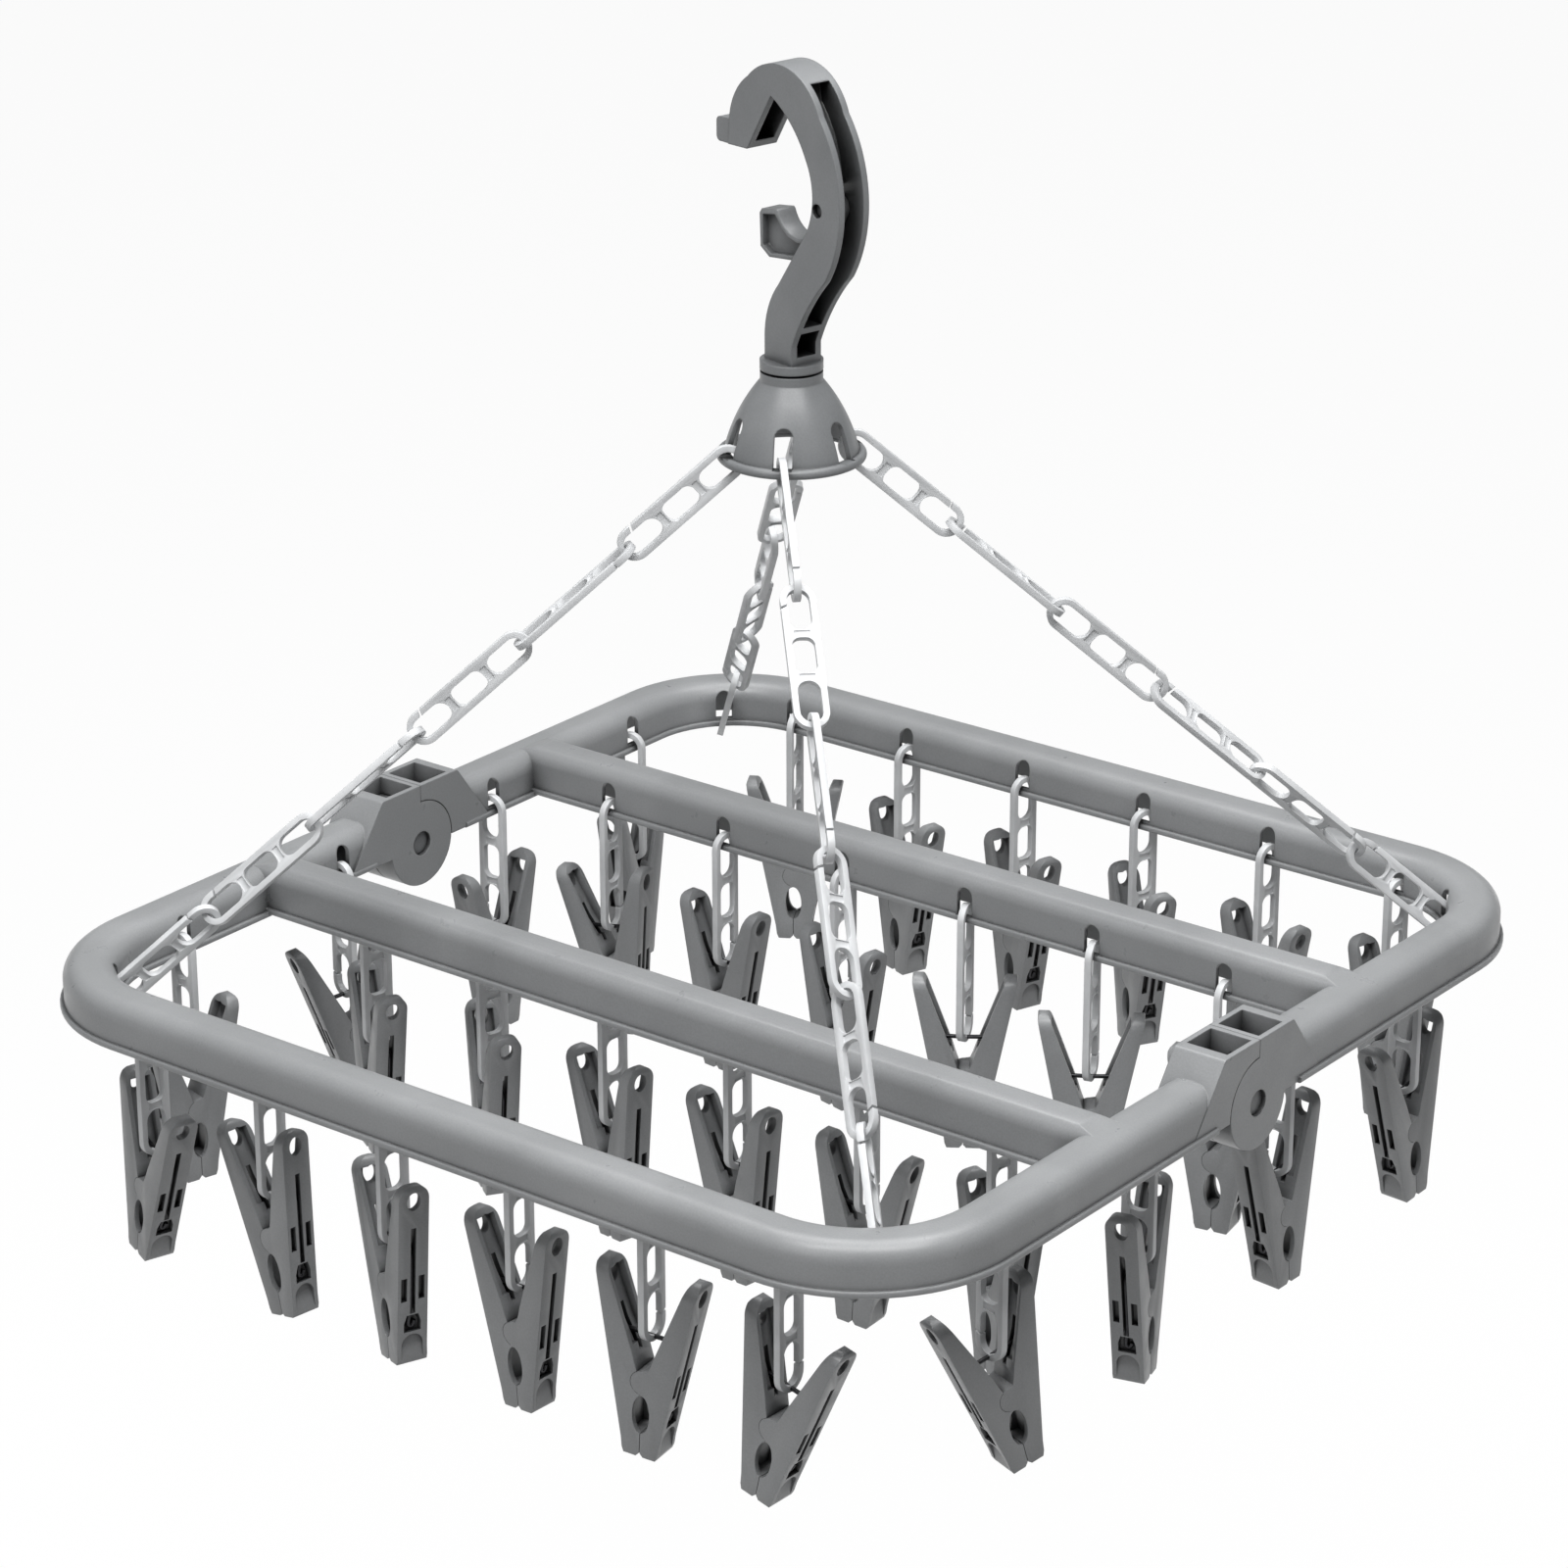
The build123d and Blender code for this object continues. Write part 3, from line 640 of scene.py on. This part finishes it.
def chainPlaces(sideX, sideY):
    angle = math.radians(hubChain["angle"])
    top = Vector((sideX * hubChain["bridgeRadius"] * math.cos(angle),
                  sideY * hubChain["bridgeRadius"] * math.sin(angle), hubChain["bridgeHeight"]))
    corner = hubChain["corner"]
    end = Vector((sideX * corner[0], sideY * corner[1], corner[2]))
    run = end - top
    span = ladderLink["length"] - ladderLink["width"]
    step = (run.length - span) / (hubChain["count"] - 1)
    along = run.normalized()
    level = Vector((run.x, run.y, 0)).normalized()
    across = level.cross(Vector((0, 0, 1)))
    upright = -along
    square = Matrix((across, upright.cross(across), upright)).transposed().to_4x4()
    places = []
    for i, roll in enumerate(hubChain["rolls"]):
        middle = top + along * (i * step) - Vector((0, 0, foldDrop))
        rolled = Matrix.Rotation(math.radians(roll * sideX * sideY), 4, "Z")
        place = Matrix.Translation(middle / 1000.0) @ square @ rolled
        if i % 2:
            flip = Matrix.Translation(scaled(0, 0, -span)) @ Matrix.Rotation(math.radians(180), 4, "Y")
            place = place @ flip
        places.append(place)
    return places


for label, sideY, seed in (("front", -1, 40), ("rear", 1, 41)):
    places = chainPlaces(-1, sideY) + chainPlaces(1, sideY)
    chain = copiesOf("chains" + label.capitalize(), linkPattern, places, linkPlastic, seed)
    dress(chain, label + "_chains", "links", "chains_" + label)
for pattern in (linkPattern, nosedJaw, plainJaw, springPattern):
    bpy.data.objects.remove(pattern)
print("chains strung")


# ---------- frame, hub and hook keep their CAD shape ----------

def smoothTree():
    # Joins the loose triangles and shades them smooth, with creases kept.
    tree = bpy.data.node_groups.new("smoothCreased", "GeometryNodeTree")
    tree.interface.new_socket("Mesh", in_out="INPUT", socket_type="NodeSocketGeometry")
    angleSocket = tree.interface.new_socket("Crease Angle", in_out="INPUT", socket_type="NodeSocketFloat")
    angleSocket.default_value = 0.5
    tree.interface.new_socket("Mesh", in_out="OUTPUT", socket_type="NodeSocketGeometry")
    start = addNode(tree, "NodeGroupInput", -700, 0)
    weld = addNode(tree, "GeometryNodeMergeByDistance", -450, 0)
    weld.inputs["Distance"].default_value = 0.000002
    faces = addNode(tree, "GeometryNodeSetShadeSmooth", -200, 0, domain="FACE")
    bend = addNode(tree, "GeometryNodeInputMeshEdgeAngle", -450, -250)
    compare = addNode(tree, "FunctionNodeCompare", -200, -250, data_type="FLOAT", operation="GREATER_THAN")
    edges = addNode(tree, "GeometryNodeSetShadeSmooth", 50, 0, domain="EDGE")
    edges.inputs["Shade Smooth"].default_value = False
    end = addNode(tree, "NodeGroupOutput", 300, 0)
    link(tree, start.outputs["Mesh"], weld.inputs["Geometry"])
    link(tree, weld.outputs["Geometry"], faces.inputs["Geometry"])
    link(tree, bend.outputs["Unsigned Angle"], compare.inputs["A"])
    link(tree, start.outputs["Crease Angle"], compare.inputs["B"])
    link(tree, faces.outputs["Geometry"], edges.inputs["Geometry"])
    link(tree, compare.outputs["Result"], edges.inputs["Selection"])
    link(tree, edges.outputs["Geometry"], end.inputs["Mesh"])
    return tree


creaseTree = smoothTree()


def finishNode(name, material):
    node = nodes[name]
    node.data.materials.clear()
    node.data.materials.append(material)
    smooth = node.modifiers.new("smooth", "NODES")
    smooth.node_group = creaseTree


for name, material in (("frame_front", barPlastic), ("frame_rear", barPlastic), ("fold_pins", hookPlastic),
                       ("hook_body", hookPlastic), ("hub_dome", hookPlastic)):
    finishNode(name, material)


# ---------- latch: a thin J with a saddle, hollow on both faces ----------

latchSize = {"pivot": (22.3, 299.6), "eye": 4.95, "thick": 8.3, "web": 2.4, "turn": -12.0,
             "saddle": (8.5, 298.0, 11.8), "pin": (2.55, 10.0), "edgeRound": 0.35}


def makeLatch():
    pivot, eye, thick = latchSize["pivot"], latchSize["eye"], latchSize["thick"]
    outline = [(-12.4, 279.2), (-12.9, 291.6), (-11.6, 293.4), (-3.4, 294.6)]
    outline += arcPoints(latchSize["saddle"][:2], latchSize["saddle"][2], 200, 300, 16)
    outline += arcPoints(pivot, eye, 135, -24, 16)
    outline += [(18.0, 282.1), (12.6, 281.2), (7.0, 277.7), (-7.5, 276.1)]
    latch = slab("latch", [outline], thick)
    hollow = [(-11.1, 280.0), (-7.2, 277.7), (6.5, 279.3), (12.2, 282.7), (17.1, 283.6), (22.6, 293.4), (18.4, 295.4),
              (14.9, 286.2), (11.0, 284.6), (7.0, 284.6), (3.0, 285.8), (-0.5, 288.2), (-3.0, 291.2), (-4.3, 292.6),
              (-11.2, 291.4)]
    cuts = []
    for side in (-1, 1):
        depth = (thick - latchSize["web"]) / 2
        pocket = slab("hollow", [hollow], depth + 1)
        cuts.append(turned(pocket, Matrix.Translation(scaled(0, side * (latchSize["web"] / 2 + (depth + 1) / 2), 0))))
    latch = combine(latch, cuts, "DIFFERENCE")
    latch = combine(latch, [rod("pin", *latchSize["pin"], (pivot[0], 0, pivot[1]))], "UNION")
    mesh = softened(latch, latchSize["edgeRound"])
    turn = Matrix.Rotation(math.radians(latchSize["turn"]), 4, "Z")
    mesh.transform(Matrix.Translation(scaled(0, 0, -foldDrop)) @ turn)
    mesh.materials.append(hookPlastic)
    return dress(asObject(mesh, "latchPiece"), "latch", "hub_and_hook", "hook_latch")


makeLatch()
print("frame and hook finished")


# ---------- camera, floor and light ----------

camera = {"azimuth": 37.9, "elevation": 21.68, "distance": 1.882, "aimRight": 0.00302, "aimUp": -0.06668,
          "lens": 112.96, "roll": -0.1}


def placeCamera():
    turn, rise = math.radians(camera["azimuth"]), math.radians(camera["elevation"])
    right = Vector((math.cos(turn), math.sin(turn), 0))
    up = Vector((-math.sin(turn) * math.sin(rise), math.cos(turn) * math.sin(rise), math.cos(rise)))
    back = right.cross(up)
    spot = back * camera["distance"] - right * camera["aimRight"] - up * camera["aimUp"]
    spot.z -= foldDrop / 1000.0
    lens = bpy.data.cameras.new("studioCamera")
    lens.lens = camera["lens"]
    lens.sensor_width = 36.0
    lens.clip_end = 50.0
    view = bpy.data.objects.new("studioCamera", lens)
    square = Matrix((right, up, back)).transposed().to_4x4()
    view.matrix_world = Matrix.Translation(spot) @ square @ Matrix.Rotation(math.radians(camera["roll"]), 4, "Z")
    bpy.context.scene.collection.objects.link(view)
    bpy.context.scene.camera = view
    return right, back


def areaLight(name, place, target, size, watts):
    lamp = bpy.data.lights.new(name, "AREA")
    lamp.shape = "RECTANGLE"
    lamp.size, lamp.size_y = size
    lamp.energy = watts
    holder = bpy.data.objects.new(name, lamp)
    aim = Vector(target) - Vector(place)
    holder.matrix_world = Matrix.Translation(place) @ aim.to_track_quat("-Z", "Y").to_matrix().to_4x4()
    bpy.context.scene.collection.objects.link(holder)


studio = {"floorDepth": -0.75, "floorSize": 40.0, "world": 0.15, "worldSeen": 0.97}


def makeStudio():
    shape = bmesh.new()
    bmesh.ops.create_grid(shape, x_segments=8, y_segments=8, size=studio["floorSize"] / 2)
    bmesh.ops.translate(shape, verts=shape.verts, vec=(0, 0, studio["floorDepth"]))
    mesh = bpy.data.meshes.new("floor")
    shape.to_mesh(mesh)
    shape.free()
    floor = asObject(mesh, "floor")
    paper = bpy.data.materials.new("palePaper")
    paper.use_nodes = True
    tree = paper.node_tree
    matte = tree.nodes["Principled BSDF"]
    matte.inputs["Base Color"].default_value = (0.5, 0.5, 0.5, 1)
    matte.inputs["Roughness"].default_value = 1.0
    seen = addNode(tree, "ShaderNodeLightPath", -600, 300)
    either = addNode(tree, "ShaderNodeMath", -350, 300, operation="MAXIMUM")
    any3 = addNode(tree, "ShaderNodeMath", -150, 300, operation="MAXIMUM")
    share = addNode(tree, "ShaderNodeMath", 50, 300, operation="MULTIPLY")
    share.inputs[1].default_value = 0.9
    white = addNode(tree, "ShaderNodeEmission", 50, 100)
    white.inputs["Strength"].default_value = 1.05
    both = addNode(tree, "ShaderNodeMixShader", 300, 100)
    out = tree.nodes["Material Output"]
    link(tree, seen.outputs["Is Camera Ray"], either.inputs[0])
    link(tree, seen.outputs["Is Glossy Ray"], either.inputs[1])
    link(tree, either.outputs[0], any3.inputs[0])
    link(tree, seen.outputs["Is Transmission Ray"], any3.inputs[1])
    link(tree, any3.outputs[0], share.inputs[0])
    link(tree, share.outputs[0], both.inputs[0])
    link(tree, matte.outputs[0], both.inputs[1])
    link(tree, white.outputs[0], both.inputs[2])
    link(tree, both.outputs[0], out.inputs["Surface"])
    mesh.materials.append(paper)
    world = bpy.data.worlds.new("softRoom")
    bpy.context.scene.world = world
    world.use_nodes = True
    # White where the camera sees past the floor, dimmer as light.
    worldTree = world.node_tree
    worldTree.nodes["Background"].inputs["Color"].default_value = (1, 1, 1, 1)
    level = addNode(worldTree, "ShaderNodeMapRange", -300, 0)
    level.inputs["To Min"].default_value = studio["world"]
    level.inputs["To Max"].default_value = studio["worldSeen"]
    path = addNode(worldTree, "ShaderNodeLightPath", -550, 0)
    link(worldTree, path.outputs["Is Camera Ray"], level.inputs["Value"])
    link(worldTree, level.outputs["Result"], worldTree.nodes["Background"].inputs["Strength"])


right, back = placeCamera()
makeStudio()
areaLight("topSoftbox", (-0.1, 0.25, 1.35), (0, 0, -0.35), (1.5, 1.0), 27)
areaLight("keyStrip", (0.42, -0.56, 1.05), (0, 0, -0.32), (1.5, 0.45), 24)
areaLight("frontFill", tuple(back * 1.6 - right * 0.9 + Vector((0, 0, 0.1))), (0, 0, -0.3), (1.0, 1.0), 6)
bpy.context.scene.view_settings.view_transform = "Standard"
print("studio set")
